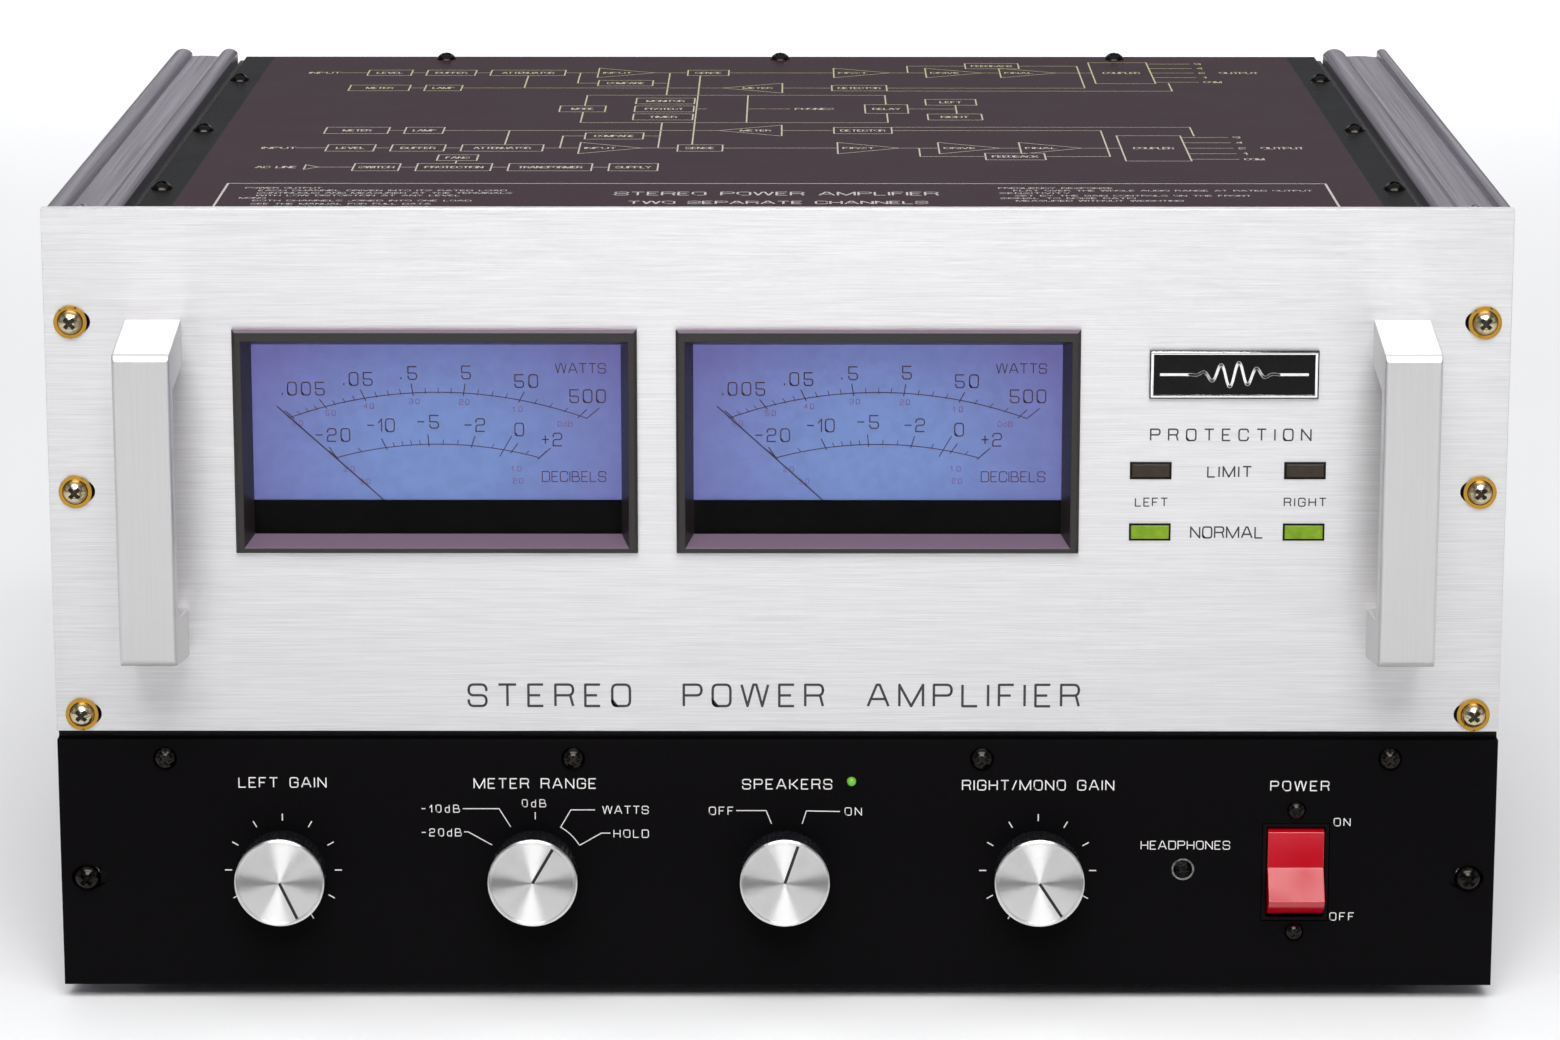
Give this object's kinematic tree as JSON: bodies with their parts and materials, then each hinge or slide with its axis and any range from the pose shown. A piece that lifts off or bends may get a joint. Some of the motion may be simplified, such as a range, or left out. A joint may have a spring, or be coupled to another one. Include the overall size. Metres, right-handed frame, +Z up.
{
  "type": "power amplifier",
  "caption": "Rack-width stereo power amplifier: silver faceplate with lit meters and grab handles over a black control panel, boxed chassis between side rails.",
  "frame": {"origin": "on the floor under the middle of the whole amplifier, handles and rear fittings included", "axes": "+X to the amplifier's right as seen from the front, +Y from the front panels to the rear, +Z up"},
  "size_m": [0.4826, 0.4416, 0.2709],
  "materials": {
    "faceplate_aluminium": "horizontally brushed, clear anodised",
    "handle_aluminium": "fine satin, clear anodised",
    "black_panel": "black anodised with white printed lettering",
    "chassis_paint": "black textured enamel",
    "cover_paint": "dark plum gloss enamel with pale printed diagram",
    "rail_aluminium": "satin grey anodised extrusion",
    "yellow_zinc": "bright yellow zinc plate",
    "black_screw": "black oxide",
    "zinc_steel": "clear zinc plate",
    "bezel_plastic": "dark brown-black moulding",
    "meter_glass": "clear glass",
    "meter_dial": "lit blue dial with dark printed scale",
    "case_plastic": "black moulding",
    "movement_steel": "plain steel",
    "needle_paint": "dark enamel",
    "badge": "black with a polished rim",
    "limit_lens": "dark translucent, unlit",
    "normal_lens": "green translucent, lit",
    "knob_plastic": "black fluted moulding",
    "cap_aluminium": "spun aluminium with a bright rim and a black pointer",
    "phenolic": "brown phenolic wafers",
    "switch_plastic": "black moulding",
    "rocker_red": "bright red gloss",
    "jack_nickel": "nickel plate",
    "led_green": "lit green lamp",
    "foot_rubber": "black rubber",
    "core_steel": "varnished laminations and windings",
    "capacitor_sleeve": "blue shrink sleeve",
    "heatsink_black": "black anodised extrusion",
    "transistor_steel": "nickel-plated cans",
    "circuit_board": "green laminate with parts",
    "fan_plastic": "black moulding",
    "terminal_phenolic": "black barrier strip with plated screws",
    "gold_plate": "gold plate",
    "gland_nylon": "black nylon"
  },
  "bodies": {
    "chassis": {"base_plate": "chassis_paint", "front_subpanel": "chassis_paint", "rear_panel": "chassis_paint", "side_wall_left": "chassis_paint", "side_wall_right": "chassis_paint", "top_cover": "cover_paint", "side_rail_left": "rail_aluminium", "side_rail_right": "rail_aluminium", "faceplate": "faceplate_aluminium", "control_panel": "black_panel", "handle_left": "handle_aluminium", "handle_right": "handle_aluminium", "handle_screws": "zinc_steel", "rubber_feet": "foot_rubber", "rack_screws": "yellow_zinc", "control_panel_screws": "black_screw", "top_cover_screws": "black_screw", "rail_screws": "zinc_steel", "meter_bezel_left": "bezel_plastic", "meter_bezel_right": "bezel_plastic", "meter_glass_left": "meter_glass", "meter_glass_right": "meter_glass", "meter_dial_left": "meter_dial", "meter_dial_right": "meter_dial", "meter_cases": "case_plastic", "meter_movements": "movement_steel", "name_badge": "badge", "limit_lenses": "limit_lens", "normal_lenses": "normal_lens", "gain_pots": "movement_steel", "rotary_switches": "phenolic", "power_switch_body": "switch_plastic", "headphone_jack": "jack_nickel", "speaker_led": "led_green", "power_transformer": "core_steel", "autoformers": "core_steel", "filter_capacitors": "capacitor_sleeve", "heatsinks": "heatsink_black", "output_transistors": "transistor_steel", "driver_boards": "circuit_board", "fan_frames": "fan_plastic", "fan_guards": "zinc_steel", "speaker_terminals": "terminal_phenolic", "input_jacks": "gold_plate", "mode_switch_body": "zinc_steel", "cord_gland": "gland_nylon"},
    "left_gain_knob": {"knob_left_gain": "knob_plastic", "cap_left_gain": "cap_aluminium"},
    "meter_range_knob": {"knob_meter_range": "knob_plastic", "cap_meter_range": "cap_aluminium"},
    "speakers_knob": {"knob_speakers": "knob_plastic", "cap_speakers": "cap_aluminium"},
    "right_gain_knob": {"knob_right_gain": "knob_plastic", "cap_right_gain": "cap_aluminium"},
    "power_rocker_body": {"power_rocker": "rocker_red"},
    "left_needle": {"needle_left": "needle_paint"},
    "right_needle": {"needle_right": "needle_paint"},
    "left_fan": {"fan_rotor_left": "fan_plastic"},
    "right_fan": {"fan_rotor_right": "fan_plastic"},
    "mode_slide": {"mode_slider": "switch_plastic"}
  },
  "joints": [
    {"name": "left_gain_turn", "type": "hinge", "parent": "chassis", "child": "left_gain_knob", "pos_m": [-0.1664, -0.18425, 0.0454], "axis": [0, 1, 0], "range_deg": [-300, 0]},
    {"name": "meter_range_turn", "type": "hinge", "parent": "chassis", "child": "meter_range_knob", "pos_m": [-0.0818, -0.18425, 0.0454], "axis": [0, 1, 0], "range_deg": [-90, 30]},
    {"name": "speakers_turn", "type": "hinge", "parent": "chassis", "child": "speakers_knob", "pos_m": [0.0025, -0.18425, 0.0454], "axis": [0, 1, 0], "range_deg": [-36, 0]},
    {"name": "right_gain_turn", "type": "hinge", "parent": "chassis", "child": "right_gain_knob", "pos_m": [0.0876, -0.18425, 0.0454], "axis": [0, 1, 0], "range_deg": [-297, 3]},
    {"name": "power_rocker_tilt", "type": "hinge", "parent": "chassis", "child": "power_rocker_body", "pos_m": [0.17435, -0.17925, 0.0448], "axis": [1, 0, 0], "range_deg": [0, 36]},
    {"name": "left_needle_swing", "type": "hinge", "parent": "chassis", "child": "left_needle", "pos_m": [-0.1129, -0.17565, 0.1547], "axis": [0, 1, 0], "range_deg": [0, 96]},
    {"name": "right_needle_swing", "type": "hinge", "parent": "chassis", "child": "right_needle", "pos_m": [0.0332, -0.17565, 0.1547], "axis": [0, 1, 0], "range_deg": [0, 96]},
    {"name": "left_fan_spin", "type": "hinge", "parent": "chassis", "child": "left_fan", "pos_m": [-0.105, 0.18575, 0.19], "axis": [0, 1, 0], "continuous": true},
    {"name": "right_fan_spin", "type": "hinge", "parent": "chassis", "child": "right_fan", "pos_m": [0.105, 0.18575, 0.19], "axis": [0, 1, 0], "continuous": true},
    {"name": "mode_slide_shift", "type": "slide", "parent": "chassis", "child": "mode_slide", "axis": [1, 0, 0], "range_m": [0, 0.005]}
  ]
}
